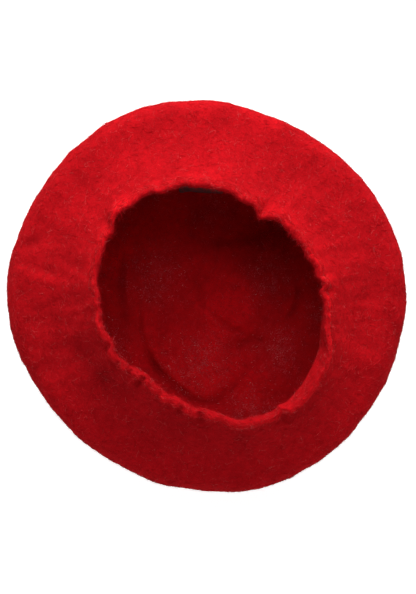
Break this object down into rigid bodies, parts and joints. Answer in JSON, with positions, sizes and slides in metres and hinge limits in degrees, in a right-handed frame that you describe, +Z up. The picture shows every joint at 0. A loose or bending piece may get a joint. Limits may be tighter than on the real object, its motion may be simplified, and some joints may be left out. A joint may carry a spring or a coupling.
{
  "type": "felt mushroom costume hat",
  "caption": "Soft felt toadstool hat with a domed spotted cap, a rounded rim and a gathered elastic hem round the head opening, lying upside down on its cap.",
  "frame": {"origin": "middle of the flat top of the cap, which lies on the floor", "axes": "+Z up, out of the head opening; +Y towards the back of the hat, where the label is; +X to the right when seen from above with the back at the top"},
  "size_m": [0.3251, 0.3198, 0.1678],
  "materials": {
    "red_felt": "matt wet-felted wool, slightly hairy",
    "white_wool": "matt felted wool, thin towards its edge",
    "black_elastic": "ribbed woven elastic",
    "black_satin": "soft satin sheen, blank"
  },
  "bodies": {
    "root": {"felt_body": "red_felt", "hem_elastic": "black_elastic", "label": "black_satin", "spot_01": "white_wool", "spot_02": "white_wool", "spot_03": "white_wool", "spot_04": "white_wool", "spot_05": "white_wool", "spot_06": "white_wool", "spot_07": "white_wool", "spot_08": "white_wool", "spot_09": "white_wool", "spot_10": "white_wool", "spot_11": "white_wool", "spot_12": "white_wool", "spot_13": "white_wool", "spot_14": "white_wool", "spot_15": "white_wool", "spot_16": "white_wool", "spot_17": "white_wool", "spot_18": "white_wool", "spot_19": "white_wool", "spot_20": "white_wool", "spot_21": "white_wool", "spot_22": "white_wool", "spot_23": "white_wool", "spot_24": "white_wool", "spot_25": "white_wool"}
  },
  "joints": []
}
